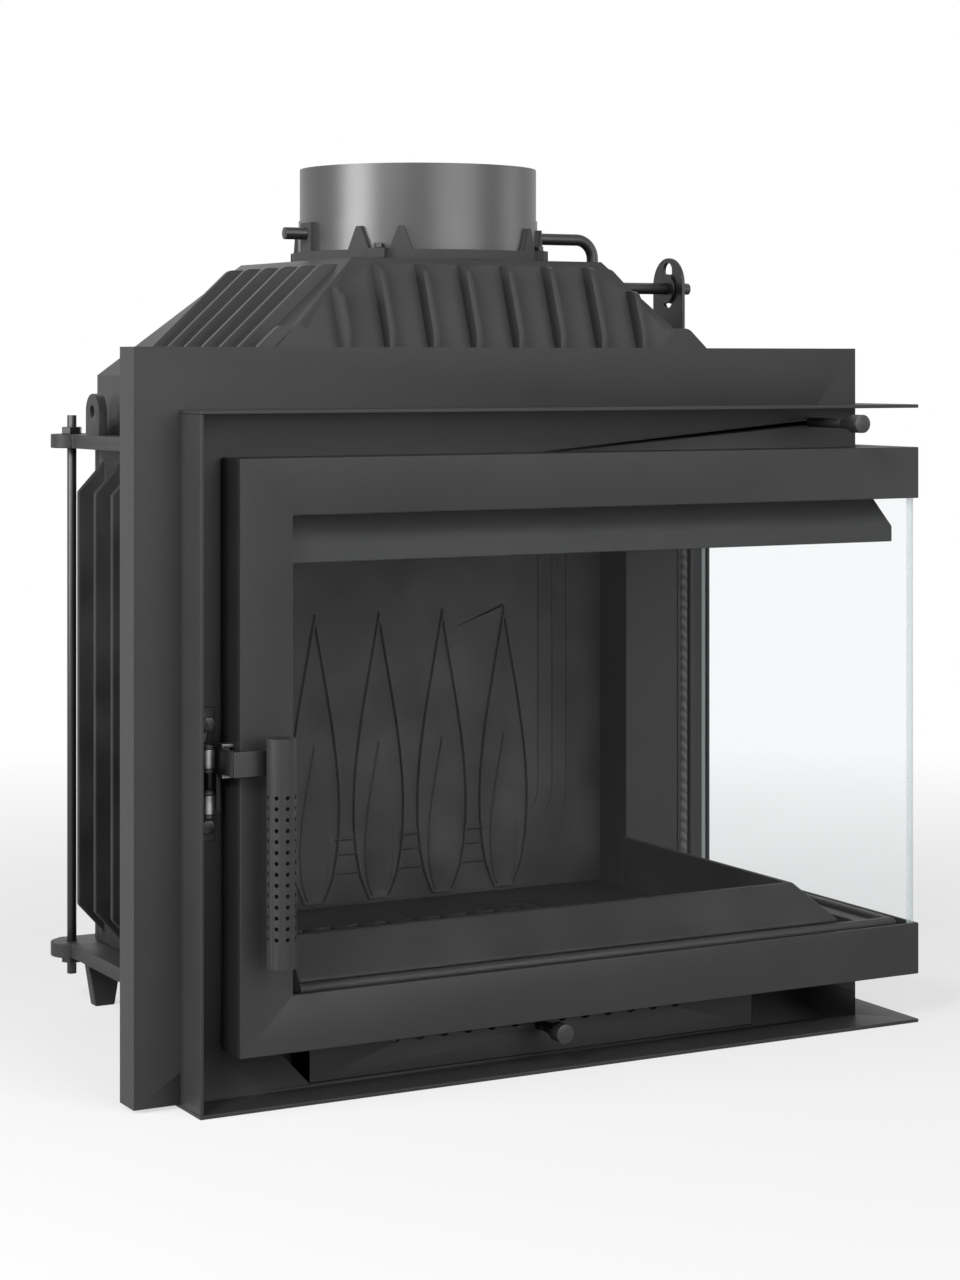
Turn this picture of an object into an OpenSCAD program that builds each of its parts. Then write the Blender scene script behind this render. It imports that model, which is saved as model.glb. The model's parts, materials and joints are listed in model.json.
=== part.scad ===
/* [Surround] */
// How far the surround reaches past the cast body on the left
surround_past_left = 75; // [60:5:100]
// How far the surround reaches past the cast body on the right
surround_past_right = 99; // [90:3:120]
// Sheet thickness of the surround and trim
sheet_t = 3; // [2:0.5:4]
// Depth of the folded rim behind the surround
surround_fold = 28; // [20:2:34]
// How far the trim plates reach past the cast body on the left
trim_past = 38; // [32:1:44]
// How far the trim plates stand out in front
trim_out = 38; // [34:1:44]
// Height of the band above the shelf plate
band_h = 47; // [40:1:60]

/* [Door] */
// How far the door reaches past the cast body on the left
door_past = 6; // [0:1:12]
// Height of the door's lower edge
door_z = 41; // [38:1:46]
// Height of the door
door_h = 444; // [430:2:460]
// Width of the door's rails and stiles
rail_w = 43; // [36:1:48]
// Gap between the door and the surround
door_gap = 3; // [2:0.5:4]
// Depth of the side of the door behind its front face
door_side = 327; // [310:1:335]
// Thickness of the ceramic glass
glass_t = 4; // [3:0.5:5]

/* [Body] */
// Half width of the cast body
body_half = 240; // [230:2:250]
// Depth from the surround's face to the back of the body
body_back = 364; // [358:2:380]
// Height of the underside of the base casting
base_z = 48; // [44:1:56]
// Height of the top casting above the door
body_rise = 10; // [4:1:16]
// Thickness of the base and top castings' plates
plate_t = 12; // [8:1:14]
// Thickness of the cast walls
wall_t = 8; // [6:1:10]
// Depth of the cooling fins
fin_d = 24; // [16:2:26]
// Thickness of the cooling fins
fin_t = 5; // [3:0.5:6]
// Distance between the cooling fins
fin_pitch = 39; // [32:1:48]

/* [Hood and flue] */
// Distance from the surround's face back to the flue's centre line
flue_y = 152; // [146:1:160]
// Outer radius of the flue collar
collar_r = 99; // [90:1:104]
// Wall thickness of the flue collar
collar_t = 5; // [4:0.5:8]
// Height of the flue collar above the hood
collar_h = 78; // [72:2:120]
// Height of the hood above the top casting
hood_h = 144; // [136:1:152]
// Half width of the hood's top
hood_half = 114; // [110:1:125]
// Height of the damper's axle above the hood
axle_rise = 23; // [21:1:30]

/* [Handle and controls] */
// Outer diameter of the handle's tube
grip_d = 22; // [18:1:26]
// Length of the handle's tube
grip_l = 169; // [140:1:180]
// Height of the handle's lower end
grip_z = 111; // [105:1:125]
// Diameter of the control knobs
knob_d = 15; // [12:1:18]
// Travel of the air control
air_travel = 30; // [20:2:34]

/* [Firebox] */
// Distance from the fire bed's right end to the surround's right face
bed_short = 60; // [54:1:70]
// Height of the fire bed's face
bed_z = 71; // [68:1:76]
// Distance from the surround's face to the face of the fireback
fireback_y = 320; // [310:1:324]
// Height of the fence's top edge
fence_z = 119; // [110:1:130]
// Number of flames cast in the fireback
flame_count = 6; // [3:1:6]
// Number of slots in the grate
slot_count = 9; // [5:1:10]

/* [Hidden] */
$fn = 64;

// Clearances between pieces
seat = 0.3;
run = 0.05;
cut = 1;
// Colours
IRON = [0.16, 0.16, 0.17];
STEEL = [0.20, 0.20, 0.21];
DARK = [0.10, 0.10, 0.11];
BRIGHT = [0.45, 0.45, 0.46];
GLASS = [0.85, 0.9, 0.92, 0.3];
ROPE = [0.3, 0.3, 0.28];

// Places that follow from the driving sizes
surround_left = body_half + surround_past_left;
surround_right = body_half + surround_past_right;
trim_left = body_half + trim_past;
door_left = body_half + door_past;
bed_right = surround_right - bed_short;
door_top = door_z + door_h;
shelf_gap = 36;
shelf_z = door_top + shelf_gap;
surround_h = shelf_z + band_h;
body_top = door_top + body_rise;
hood_top = body_top + hood_h;
axle_z = hood_top + axle_rise;
collar_top = hood_top + collar_h;
hood_rim = 25;
hood_foot_half = body_half - hood_rim;
bed_gap = 1;
bed_left = body_half - fin_d - wall_t - bed_gap;
door_end = door_side - trim_out;
opening_x0 = -door_left + rail_w / 2;
opening_z0 = door_z + rail_w / 2;
opening_z1 = door_top - rail_w / 2;
opening_y1 = door_end - rail_w / 3;
base_top = base_z + plate_t;
top_low = body_top - plate_t;
wall_h = top_low - base_top - 2 * seat;
wall_z = base_top + seat;
body_front = sheet_t + seat;
bed_x = (bed_right - bed_left) / 2;

module block(x0, x1, y0, y1, z0, z1) {
    translate([x0, y0, z0]) cube([x1 - x0, y1 - y0, z1 - z0]);
}
module rod_x(x0, x1, y, z, r) {
    translate([x0, y, z]) rotate([0, 90, 0]) cylinder(r = r, h = x1 - x0);
}
module rod_y(x, y0, y1, z, r) {
    translate([x, y1, z]) rotate([90, 0, 0]) cylinder(r = r, h = y1 - y0);
}
module rod_z(x, y, z0, z1, r) {
    translate([x, y, z0]) cylinder(r = r, h = z1 - z0);
}
module hex_x(x, y, z, r, h) {
    translate([x, y, z]) rotate([0, 90, 0]) cylinder(r = r, h = h, $fn = 6);
}
module hex_y(x, y, z, r, h) {
    translate([x, y, z]) rotate([90, 0, 0]) cylinder(r = r, h = h, $fn = 6);
}

// Base casting: rimmed plate with ears for the tie rods
rim_w = 16;
rim_step = 4;
ear_r = 18;
rod_r = 4;
ear_in = 5.6;
base_right = surround_right - sheet_t - seat;
rod_left = -body_half + ear_in;
rod_right = base_right - ear_r;
rod_back = body_back - ear_r;
rod_front = body_front + ear_r + rim_w;
rod_places = [[rod_left, rod_back], [rod_left, rod_front], [rod_right, rod_back]];
module casting_outline() {
    translate([-body_half, body_front])
        square([base_right + body_half, body_back - body_front]);
    for (p = rod_places) translate(p) circle(r = ear_r);
}
ash_w = 280;
ash_d = 210;
shutter_room = 19;
ash_y = sheet_t + air_travel + shutter_room + wall_t;
ash_depth = 30;
air_x = 31;
air_z = 29;
port_w = 50;
port_h = 12;
module base_casting() {
    color(IRON) difference() {
        union() {
            translate([0, 0, base_z]) linear_extrude(plate_t) casting_outline();
            block(bed_x - ash_w / 2 - wall_t, bed_x + ash_w / 2 + wall_t, ash_y - wall_t,
                ash_y + ash_d + wall_t, base_z - ash_depth, base_z + plate_t / 2);
        }
        block(bed_x - ash_w / 2, bed_x + ash_w / 2, ash_y, ash_y + ash_d,
            base_z - ash_depth + wall_t / 2, base_top + cut);
        block(air_x - port_w / 2, air_x + port_w / 2, ash_y - wall_t - cut, ash_y + cut,
            air_z - port_h / 2, air_z + port_h / 2);
        for (p = rod_places)
            translate([p[0], p[1], base_z - cut]) cylinder(r = rod_r + seat, h = plate_t + 2 * cut);
    }
}

// Feet: tapered cast legs under the base
foot_w = 34;
foot_t = 12;
foot_taper = 8;
foot_in = 20;
foot_x = body_half - foot_w - foot_in;
foot_y = body_back - foot_t - rim_step;
module foot() {
    rotate([90, 0, 0]) translate([0, 0, -foot_t]) linear_extrude(foot_t)
        polygon([[foot_taper, 0], [foot_w - foot_taper, 0], [foot_w, base_z], [0, base_z]]);
}
module feet() {
    color(IRON) for (x = [-foot_x - foot_w, foot_x])
        for (y = [foot_y, surround_fold + seat])
            translate([x, y, 0]) foot();
}

// Left wall: cast panel with upright cooling fins whose ends are cut at a slant
fin_slant = 26;
fin_margin = 10;
ledge_w = 10;
ledge_t = 8;
baffle_drop = 43;
baffle_z = top_low - baffle_drop;
wall_x = -body_half + fin_d;
fin_last = body_back - fin_d - wall_t - fin_margin - fin_t;
fin_rows = floor((fin_last - rod_front - rod_r - fin_t) / fin_pitch) + 1;
module fin(h) {
    rotate([90, 0, 0]) translate([0, 0, -fin_t / 2]) linear_extrude(fin_t)
        polygon([[0, fin_margin], [-fin_d, fin_margin + fin_slant],
            [-fin_d, h - fin_margin - fin_slant], [0, h - fin_margin], [cut, h - fin_margin],
            [cut, fin_margin]]);
}
module left_wall() {
    color(IRON) {
        block(wall_x, wall_x + wall_t, body_front, body_back - wall_t - fin_d - seat, wall_z,
            wall_z + wall_h);
        for (i = [0 : fin_rows - 1])
            translate([wall_x, fin_last - i * fin_pitch, wall_z]) fin(wall_h);
        block(-body_half, wall_x + cut, body_front, body_front + wall_t, wall_z, wall_z + wall_h);
        block(wall_x + wall_t - cut, wall_x + wall_t + ledge_w, throat_y0 + plate_t,
            rear_y - plate_t - ledge_w, baffle_z - seat - ledge_t, baffle_z - seat);
    }
}

// Rear wall: the same panel turned to the back
rear_y = body_back - fin_d - wall_t;
module rear_wall() {
    x0 = wall_x;
    x1 = bed_right + wall_t;
    color(IRON) {
        block(x0, x1, rear_y, rear_y + wall_t, wall_z, wall_z + wall_h);
        for (x = [x0 + 2 * fin_margin : fin_pitch : x1 - 2 * fin_margin])
            translate([x, rear_y + wall_t, wall_z]) rotate([0, 0, -90]) fin(wall_h);
    }
}

// Right post: the cast stub that closes the rear right corner
post_y = opening_y1;
module right_post() {
    color(IRON) {
        block(bed_right + seat, bed_right + wall_t, post_y, rear_y - seat, wall_z, wall_z + wall_h);
        block(bed_right + seat, base_right, post_y, post_y + wall_t, wall_z, wall_z + wall_h);
        block(base_right - wall_t, base_right, post_y, rod_back - ear_r - seat, wall_z, wall_z + wall_h);
    }
}

// Top casting: rimmed plate, open under the hood, with two lifting ears
throat_rim = 50;
throat_w = 2 * (body_half - throat_rim);
throat_y0 = 40;
throat_y1 = 290;
lug_r = 15;
lug_h = 20;
lug_hole = 5;
lug_in = 70;
lug_y = body_back - lug_in;
module lug() {
    rotate([0, -90, 0]) linear_extrude(wall_t, center = true) difference() {
        union() {
            translate([lug_h, 0]) circle(r = lug_r);
            translate([0, -lug_r]) square([lug_h, 2 * lug_r]);
        }
        translate([lug_h, 0]) circle(r = lug_hole);
    }
}
module top_casting() {
    color(IRON) {
        difference() {
            translate([0, 0, top_low]) linear_extrude(plate_t) casting_outline();
            block(-throat_w / 2, throat_w / 2, throat_y0, throat_y1, top_low - cut, body_top + cut);
            for (p = rod_places)
                translate([p[0], p[1], top_low - cut])
                    cylinder(r = rod_r + seat, h = plate_t + 2 * cut);
        }
        for (x = [-body_half + wall_t, body_half - wall_t])
            translate([x, lug_y, body_top]) lug();
    }
}

// Tie rods clamp the castings together
rod_over = 16;
nut_r = 9;
nut_h = 6;
module tie_rods() {
    color(STEEL) for (p = rod_places)
        rod_z(p[0], p[1], base_z - rod_over, body_top + rod_over, rod_r);
}
module tie_nuts() {
    color(STEEL) for (p = rod_places) for (z = [base_z - nut_h, body_top])
        difference() {
            translate([p[0], p[1], z]) cylinder(r = nut_r, h = nut_h, $fn = 6);
            rod_z(p[0], p[1], z - cut, z + nut_h + cut, rod_r + run);
        }
}

// A profile of distance outwards and height, run along the front and round the right corner
far = surround_h;
module run_front(x0, x1) {
    translate([x0, 0, 0]) rotate([90, 0, 90]) linear_extrude(x1 - x0) mirror([1, 0]) children();
}
module run_side(y0, y1) {
    translate([surround_right, y1, 0]) rotate([90, 0, 0]) linear_extrude(y1 - y0) children();
}
module front_wedge() {
    translate([surround_right, 0, -far]) linear_extrude(3 * far)
        polygon([[far, -far], [-far, far], [-3 * far, far], [-3 * far, -far]]);
}
module side_wedge() {
    translate([surround_right, 0, -far]) linear_extrude(3 * far)
        polygon([[far, -far], [-far, far], [far, far]]);
}
module around(x0, y1) {
    intersection() {
        run_front(x0, surround_right + 2 * trim_out) children();
        front_wedge();
    }
    intersection() {
        run_side(-2 * trim_out, y1) children();
        side_wedge();
    }
}
module span(a0, a1, b0, b1) {
    translate([a0, b0]) square([a1 - a0, b1 - b0]);
}

// Smoke hood: a hollow ribbed casting that narrows to the flue
hood_front = 10;
hood_back = 336;
hood_skirt = 50;
hood_wall = 7;
hood_top_depth = 108;
rib_t = 5;
rib_d = 14;
rib_pitch = 38.5;
rib_count = 8;
side_rib_y = 26;
side_rib_pitch = 36;
side_rib_count = 7;
rib_cap = 5;
rib_round = 10;
rib_deep = 24;
hood_low = body_top + seat;
hood_bend = hood_low + hood_skirt;
hood_y0 = flue_y - hood_top_depth;
hood_y1 = flue_y + hood_top_depth;
function slope_x(z) = hood_half + (hood_foot_half - hood_half) * (hood_top - z) / (hood_top - hood_bend);
function slope_y(z) = hood_y0 - (hood_y0 - hood_front) * (hood_top - z) / (hood_top - hood_bend);
function hip_end(off, half, foot) = hood_top - rib_cap
    - max(0, off - half) * (hood_top - hood_bend) / (foot - half);
module hood_form(w, low) {
    intersection() {
        translate([0, hood_back, 0]) rotate([90, 0, 0]) linear_extrude(hood_back - hood_front)
            polygon([[-hood_foot_half + w, low], [hood_foot_half - w, low],
                [hood_foot_half - w, hood_bend], [hood_half - w, hood_top - w],
                [-hood_half + w, hood_top - w], [-hood_foot_half + w, hood_bend]]);
        translate([-hood_foot_half, 0, 0]) rotate([90, 0, 90]) linear_extrude(2 * hood_foot_half)
            polygon([[hood_front + w, low], [hood_back - w, low], [hood_back - w, hood_bend],
                [hood_y1 - w, hood_top - w], [hood_y0 + w, hood_top - w],
                [hood_front + w, hood_bend]]);
    }
}
module rib_form(profile) {
    linear_extrude(rib_t, center = true) offset(r = rib_round) offset(delta = -rib_round)
        polygon(profile);
}
module front_rib(x) {
    z1 = hip_end(abs(x), hood_half, hood_foot_half);
    z0 = hood_bend - rib_pitch / 2;
    translate([x, 0, 0]) rotate([90, 0, 90]) rib_form([[hood_front + rib_deep, z0],
        [hood_front - rib_d, z0], [hood_front - rib_d, hood_bend], [slope_y(z1) - rib_d, z1],
        [slope_y(z1) + rib_deep, z1]]);
}
module side_rib(y) {
    z1 = hip_end(flue_y - y, hood_top_depth, flue_y - hood_front);
    z0 = hood_bend - rib_pitch / 2;
    translate([0, y, 0]) rotate([90, 0, 0]) rib_form([[hood_foot_half - rib_deep, z0],
        [hood_foot_half + rib_d, z0], [hood_foot_half + rib_d, hood_bend],
        [slope_x(z1) + rib_d, z1], [slope_x(z1) - rib_deep, z1]]);
}
module smoke_hood() {
    color(IRON) {
        difference() {
            union() {
                hood_form(0, hood_low);
                intersection() {
                    union() for (i = [0 : rib_count - 1])
                        front_rib((i - (rib_count - 1) / 2) * rib_pitch);
                    block(-far, far, body_front + rib_cap, far, hood_low, hood_top);
                }
                for (i = [0 : side_rib_count - 1]) {
                    y = side_rib_y + i * side_rib_pitch;
                    side_rib(y);
                    mirror([1, 0, 0]) side_rib(y);
                }
            }
            hood_form(hood_wall, hood_low - cut);
            rod_z(0, flue_y, hood_top - 3 * hood_wall, hood_top + cut, collar_r - collar_t);
        }
    }
}

// Flue collar: spigot with a bolted ring, gussets and bosses for the damper's axle
ring_r = 105;
ring_t = 8;
gusset_h = 20;
gusset_w = 20;
gusset_tip = 4;
gusset_turn = 10;
bolt_count = 4;
bolt_turn = 45;
lug_half = 7;
lug_out = 6;
axle_r = 5;
boss_r = 10;
boss_d = 5;
root_over = 1;
root_in = 3;
root_top = axle_z + boss_r + 2 * root_over;
collar_low = hood_top + seat;
module gusset() {
    translate([collar_r - root_in, 0, ring_t - cut]) rotate([90, 0, 90])
        linear_extrude(root_in + boss_d)
            polygon([[-gusset_w / 2, 0], [gusset_w / 2, 0], [gusset_tip / 2, gusset_h],
                [-gusset_tip / 2, gusset_h]]);
}
module flue_collar() {
    color(IRON) difference() {
        union() {
            rod_z(0, flue_y, collar_low, collar_top, collar_r);
            rod_z(0, flue_y, collar_low, root_top, collar_r + root_over);
            rod_z(0, flue_y, collar_low, collar_low + ring_t, ring_r);
            for (i = [0 : bolt_count - 1]) translate([0, flue_y, collar_low])
                rotate([0, 0, i * 360 / bolt_count + bolt_turn]) {
                    block(collar_r - root_in, ring_r + lug_out, -lug_half, lug_half, root_over,
                        ring_t + root_over);
                    for (a = [-gusset_turn, gusset_turn]) rotate([0, 0, a]) gusset();
                }
            for (s = [-1, 1])
                block(s > 0 ? collar_r - root_in : -collar_r - boss_d,
                    s > 0 ? collar_r + boss_d : -collar_r + root_in, flue_y - boss_r,
                    flue_y + boss_r, collar_low + ring_t - cut, axle_z + boss_r - root_over);
        }
        rod_z(0, flue_y, collar_low - cut, collar_top + cut, collar_r - collar_t);
        rod_x(-2 * collar_r, 2 * collar_r, flue_y, axle_z, axle_r + run);
    }
}
bolt_r = 4;
bolt_h = 4;
module collar_bolts() {
    color(STEEL) for (i = [0 : bolt_count - 1])
        translate([0, flue_y, collar_low + ring_t + root_over])
            rotate([0, 0, i * 360 / bolt_count + bolt_turn])
                translate([ring_r, 0, 0]) cylinder(r = bolt_r, h = bolt_h, $fn = 6);
}

// Damper: a cut disc on a cranked axle, turned by a slotted strap on a pull rod
disc_gap = 2;
disc_t = 3;
disc_cut = 56;
disc_tilt = 45;
hub_r = 9;
crank_x = 170;
bend_r = 16;
crank_arm = 41;
strap_gap = 18;
strap_x = hood_foot_half + rib_d + strap_gap;
pin_over = 21;
pin_end = strap_x + pin_over;
pin_z = axle_z - crank_arm;
rod_end = 24;
rod_end_x = -collar_r - rod_end;
module damper_plate() {
    color(IRON) translate([0, flue_y, axle_z]) rotate([disc_tilt, 0, 0]) {
        difference() {
            union() {
                intersection() {
                    translate([0, 0, -disc_t / 2])
                        cylinder(r = collar_r - collar_t - disc_gap, h = disc_t);
                    block(-collar_r, collar_r, -disc_cut, disc_cut, -disc_t, disc_t);
                }
                rod_x(-2 * hub_r, 2 * hub_r, 0, 0, hub_r);
            }
            rod_x(-collar_r, collar_r, 0, 0, axle_r + run);
        }
    }
}
module elbow(x, z, turn) {
    translate([x, flue_y, z]) rotate([90, 0, 0]) rotate([0, 0, turn])
        rotate_extrude(angle = 90) translate([bend_r, 0]) circle(r = axle_r);
}
module damper_crank() {
    color(STEEL) {
        rod_x(rod_end_x, crank_x - bend_r, flue_y, axle_z, axle_r);
        elbow(crank_x - bend_r, axle_z - bend_r, 0);
        rod_z(crank_x, flue_y, pin_z + bend_r, axle_z - bend_r, axle_r);
        elbow(crank_x + bend_r, pin_z + bend_r, 180);
        rod_x(crank_x + bend_r, pin_end, flue_y, pin_z, axle_r);
    }
}
strap_w = 48;
strap_t = 3;
slot_half = 6.8;
slot_l = 26;
washer_r = 13;
washer_t = 2;
pull_in = 45;
pull_x = strap_x + pull_in;
pull_drop = 15;
pull_z = shelf_z - pull_drop;
pull_r = 4;
module damper_strap() {
    strap_low = pull_z - pull_r - strap_t;
    color(STEEL) difference() {
        union() {
            rod_x(strap_x, strap_x + strap_t, flue_y, pin_z + strap_t, strap_w / 2);
            block(strap_x, strap_x + strap_t, flue_y - strap_w / 2, flue_y + strap_w / 2,
                strap_low, pin_z + strap_t);
            block(strap_x, pull_x + 2 * pull_r, flue_y - strap_t, flue_y + strap_t,
                strap_low, pull_z + 2 * pull_r);
        }
        for (dz = [-slot_l / 2, slot_l / 2])
            rod_x(strap_x - cut, strap_x + strap_t + cut, flue_y, pin_z + dz + strap_t, slot_half);
        block(strap_x - cut, strap_x + strap_t + cut, flue_y - slot_half, flue_y + slot_half,
            pin_z - slot_l / 2 + strap_t, pin_z + slot_l / 2 + strap_t);
        rod_y(pull_x, flue_y - strap_w, flue_y + strap_w, pull_z, pull_r + run);
    }
}
module damper_washer() {
    color(STEEL) for (x = [strap_x - seat - washer_t, strap_x + strap_t + seat]) difference() {
        rod_x(x, x + washer_t, flue_y, pin_z, washer_r);
        rod_x(x - cut, x + washer_t + cut, flue_y, pin_z, axle_r + run);
    }
}
module damper_nut() {
    x = strap_x + strap_t + 2 * seat + washer_t;
    color(STEEL) difference() {
        hex_x(x, flue_y, pin_z, nut_r, nut_h);
        rod_x(x - cut, x + nut_h + cut, flue_y, pin_z, axle_r + run);
    }
}
pull_out = 62;
knob_l = 26;
knob_neck = 0.6;
module damper_rod() {
    color(STEEL) rod_y(pull_x, -pull_out, flue_y + 2 * strap_t, pull_z, pull_r);
}
module knob(x, z, y_end, r_hole) {
    translate([x, y_end + knob_l, z]) rotate([90, 0, 0]) difference() {
        rotate_extrude() polygon([[0, 0], [knob_neck * knob_d / 2, 0],
            [knob_neck * knob_d / 2, knob_l / 4], [knob_d / 2, knob_l / 2],
            [knob_d / 2, knob_l], [0, knob_l]]);
        translate([0, 0, -cut]) cylinder(r = r_hole, h = knob_l / 2 + cut);
    }
}
module damper_knob() {
    color(DARK) knob(pull_x, pull_z, -pull_out - knob_l / 2, pull_r + run);
}

// Surround: folded sheet round the front and right openings
top_fold = 8;
window_in_left = 106;
window_in_right = 105;
window_x0 = -trim_left + window_in_left;
window_x1 = surround_right - window_in_right;
window_z0 = 6;
window_z1 = opening_z0 - 2 * sheet_t;
module surround() {
    color(STEEL) difference() {
        union() {
            around(-surround_left, body_back) span(-sheet_t, 0, opening_z1, surround_h);
            around(-surround_left, body_back) span(-sheet_t, 0, sheet_t, opening_z0);
            around(-surround_left, body_back)
                span(-top_fold, 0, surround_h - sheet_t, surround_h);
            block(-surround_left, opening_x0, 0, sheet_t, sheet_t, surround_h);
            block(-surround_left, -surround_left + sheet_t, 0, surround_fold, sheet_t, surround_h);
            block(surround_right - sheet_t, surround_right, opening_y1, body_back, sheet_t,
                surround_h);
        }
        block(window_x0, window_x1, -cut, sheet_t + cut, window_z0, window_z1);
        rod_y(pull_x, -cut, sheet_t + cut, pull_z, pull_r + run);
    }
}
module shelf_plate() {
    color(STEEL) around(-trim_left, body_back) span(0, trim_out, shelf_z - sheet_t, shelf_z);
}
module left_trim() {
    color(STEEL) block(-trim_left, -trim_left + sheet_t, -trim_out, 0, sheet_t, shelf_z - sheet_t);
}
module hearth_lip() {
    color(STEEL) around(-trim_left, body_back) span(-surround_fold, trim_out, 0, sheet_t);
}

// Front panel with its row of air slots, and the air control behind it
hole_count = 13;
hole_pitch = 21.4;
hole_x0 = -98;
hole_r = 4.5;
hole_low = 34;
module front_panel() {
    color(STEEL) difference() {
        block(window_x0 + seat, window_x1 - seat, 0, sheet_t, window_z0 + seat, window_z1 - seat);
        for (i = [0 : hole_count - 1]) {
            x = hole_x0 + i * hole_pitch;
            if (abs(x - air_x) > hole_pitch / 2) {
                rod_y(x, -cut, sheet_t + cut, hole_low, hole_r);
                block(x - hole_r, x + hole_r, -cut, sheet_t + cut, hole_low, hole_low + 2 * hole_r);
            }
        }
        rod_y(air_x, -cut, sheet_t + cut, air_z, pull_r + seat);
    }
}
air_out = 27;
shutter_y1 = ash_y - wall_t - seat;
shutter_y0 = shutter_y1 - sheet_t;
module air_rod() {
    color(STEEL) rod_y(air_x, -air_out, shutter_y0, air_z, pull_r);
}
module air_knob() {
    color(DARK) knob(air_x, air_z, -air_out - knob_l / 2, pull_r + run);
}
module air_shutter() {
    color(STEEL) block(air_x - port_w / 2 - wall_t, air_x + port_w / 2 + wall_t, shutter_y0,
        shutter_y1, air_z - port_h / 2 - sheet_t, air_z + port_h / 2 + sheet_t);
}

// Fireback: cast plate with a row of raised flames and ribs
back_t = 11;
relief = 3;
flame_pitch = 64;
flame_in = 104;
flame_last = bed_right - flame_in;
flame_w = 42;
flame_low = 4;
flame_h = 258;
flame_inner_share = 0.55;
flame_rows = min(flame_count, floor((bed_left + flame_last - flame_w / 2) / flame_pitch) + 1);
rib_line = 2;
fireback_top = baffle_z - seat;
fireback_z = bed_z + seat;
module flame_outline(w, h) {
    steps = 12;
    side = [for (i = [0 : steps]) [w / 2 * sin(180 * pow(i / steps, 0.75)) * (1 - i / steps * 0.25)
        + w / 4 * (1 - i / steps), h * i / steps]];
    polygon(concat([[0, 0]], side, [for (i = [steps : -1 : 0]) [-side[i][0], side[i][1]]]));
}
module fireback() {
    color(IRON) {
        block(-bed_left, bed_right, fireback_y, fireback_y + back_t, fireback_z, fireback_top);
        for (i = [0 : flame_rows - 1])
            translate([flame_last - i * flame_pitch, fireback_y + cut, fireback_z + flame_low])
                rotate([90, 0, 0]) {
                    linear_extrude(relief + cut) difference() {
                        flame_outline(flame_w, flame_h);
                        offset(delta = -rib_line) flame_outline(flame_w, flame_h);
                    }
                    linear_extrude(relief / 2 + cut)
                        flame_outline(flame_w * flame_inner_share, flame_h * flame_inner_share);
                }
    }
}

// Fire bed: plate, grate, ash pan and the fences that hold the logs
bed_front = body_front;
grate_w = ash_w - 2 * wall_t;
grate_d = ash_d - 2 * wall_t;
grate_y = ash_y + wall_t;
grate_t = 8;
ledge = 6;
module bed_plate() {
    color(IRON) difference() {
        block(-bed_left, bed_right, bed_front, fireback_y + back_t, base_top + seat, bed_z);
        block(bed_x - grate_w / 2, bed_x + grate_w / 2, grate_y, grate_y + grate_d,
            bed_z - grate_t - seat, bed_z + cut);
        block(bed_x - grate_w / 2 + ledge, bed_x + grate_w / 2 - ledge, grate_y + ledge,
            grate_y + grate_d - ledge, base_top, bed_z + cut);
    }
}
module grate() {
    w = grate_w - 2 * seat;
    d = grate_d - 2 * seat;
    pitch = (w - 4 * ledge) / slot_count;
    color(IRON) difference() {
        block(bed_x - w / 2, bed_x + w / 2, grate_y + seat, grate_y + seat + d,
            bed_z - grate_t, bed_z);
        for (i = [0 : slot_count - 1])
            block(bed_x - w / 2 + 2 * ledge + pitch * (i + 1 / 4),
                bed_x - w / 2 + 2 * ledge + pitch * (i + 3 / 4),
                grate_y + 3 * ledge, grate_y + d - 3 * ledge, bed_z - grate_t - cut, bed_z + cut);
    }
}
pan_t = 1.5;
pan_gap = 8;
pan_h = 22;
module ash_pan() {
    x = ash_w / 2 - pan_gap;
    z = base_z - ash_depth + wall_t / 2 + seat;
    color(DARK) difference() {
        block(bed_x - x, bed_x + x, ash_y + pan_gap, ash_y + ash_d - pan_gap, z, z + pan_h);
        block(bed_x - x + pan_t, bed_x + x - pan_t, ash_y + pan_gap + pan_t,
            ash_y + ash_d - pan_gap - pan_t, z + pan_t, z + pan_h + cut);
    }
}
fence_t = 5;
fence_out = 23;
fence_low = 88;
fence_nose = 2;
fence_gap = 17;
fence_left = bed_left - fence_gap;
fence_top_out = -4;
module fence_profile() {
    polygon([[fence_top_out - fence_t, bed_z + seat], [fence_top_out, bed_z + seat],
        [fence_top_out, fence_low], [fence_out, fence_low], [fence_out, fence_low + fence_nose],
        [fence_top_out, fence_z], [fence_top_out - fence_t, fence_z]]);
}
fence_corner = surround_right - bed_right - fence_t;
module front_fence() {
    color(IRON) translate([-fence_corner, bed_front, 0]) intersection() {
        run_front(-fence_left + fence_corner, surround_right + 2 * trim_out) fence_profile();
        front_wedge();
    }
}
module side_fence() {
    color(IRON) translate([-fence_corner, bed_front, 0]) intersection() {
        run_side(-2 * trim_out, opening_y1 - bed_front - 2 * seat) fence_profile();
        side_wedge();
    }
}
sill_r = 4.5;
sill_out = 20;
sill_z = 83;
sill_t = 4;
sill_end = 255;
module sill_bar() {
    color(STEEL) around(-fence_left, sill_end) {
        translate([sill_out, sill_z]) circle(r = sill_r);
        span(0, sill_out, sill_z - sill_r, sill_z - sill_r + sill_t);
        span(0, sill_t, opening_z0 - sill_t, sill_z - sill_r + sill_t);
    }
}

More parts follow.
